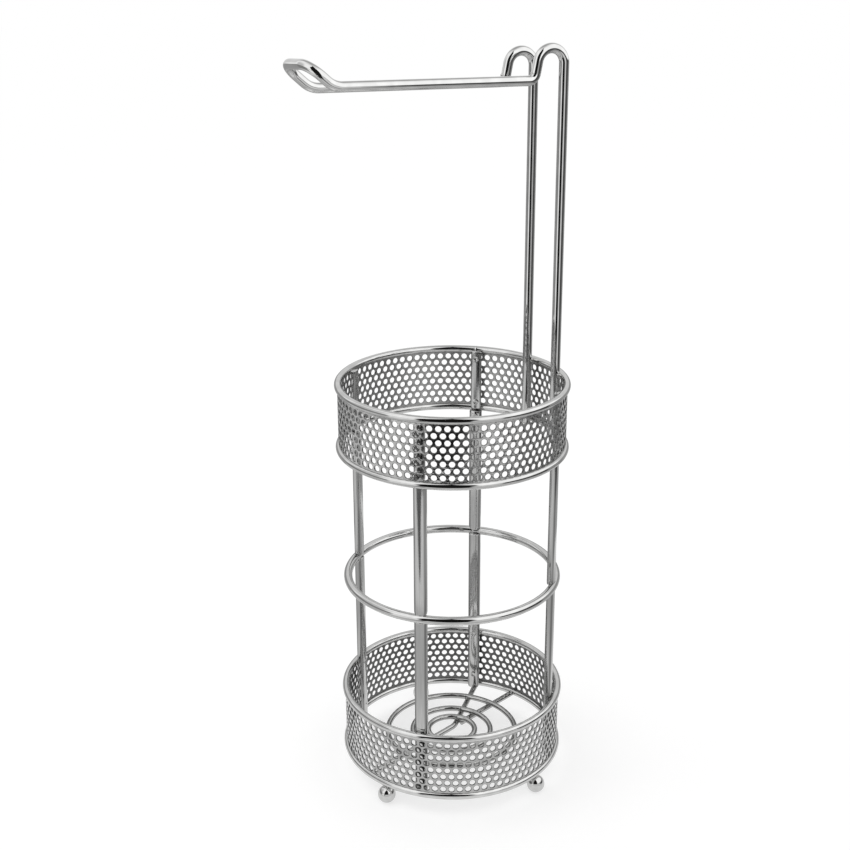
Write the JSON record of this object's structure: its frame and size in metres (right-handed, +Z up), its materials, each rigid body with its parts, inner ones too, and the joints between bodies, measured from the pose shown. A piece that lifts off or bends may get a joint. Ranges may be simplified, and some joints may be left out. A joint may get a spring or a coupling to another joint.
{
  "type": "toilet roll storage holder",
  "caption": "Free-standing chrome wire holder with perforated baskets on flat uprights, and a bent wire arm above for the roll in use.",
  "frame": {"origin": "on the common axis of the two baskets, at floor level", "axes": "+Z up along the basket axis, +X towards the right upright, -Y towards the front upright; the roll arm points between -X and -Y"},
  "size_m": [0.169, 0.1645, 0.5137],
  "materials": {
    "chrome_wire": "bright chrome plate on round steel wire",
    "chrome_bar": "bright chrome plate on flat steel bar",
    "chrome_sheet": "bright chrome plate on punched steel sheet",
    "chrome_ball": "bright chrome plate on steel balls"
  },
  "bodies": {
    "root": {"upper_rim": "chrome_wire", "upper_base_ring": "chrome_wire", "waist_ring": "chrome_wire", "lower_rim": "chrome_wire", "lower_base_ring": "chrome_wire", "near_hook_rod": "chrome_wire", "far_hook_rod": "chrome_wire", "roll_arm": "chrome_wire", "inner_floor_ring": "chrome_wire", "middle_floor_ring": "chrome_wire", "outer_floor_ring": "chrome_wire", "bent_stay": "chrome_wire", "short_stay": "chrome_wire", "upper_band": "chrome_sheet", "lower_band": "chrome_sheet", "front_strap": "chrome_bar", "right_strap": "chrome_bar", "back_strap": "chrome_bar", "left_strap": "chrome_bar", "front_middle_bar": "chrome_bar", "right_middle_bar": "chrome_bar", "back_middle_bar": "chrome_bar", "left_middle_bar": "chrome_bar", "front_lower_bar": "chrome_bar", "right_lower_bar": "chrome_bar", "back_lower_bar": "chrome_bar", "left_lower_bar": "chrome_bar", "front_foot": "chrome_ball", "right_foot": "chrome_ball", "back_foot": "chrome_ball"}
  },
  "joints": []
}
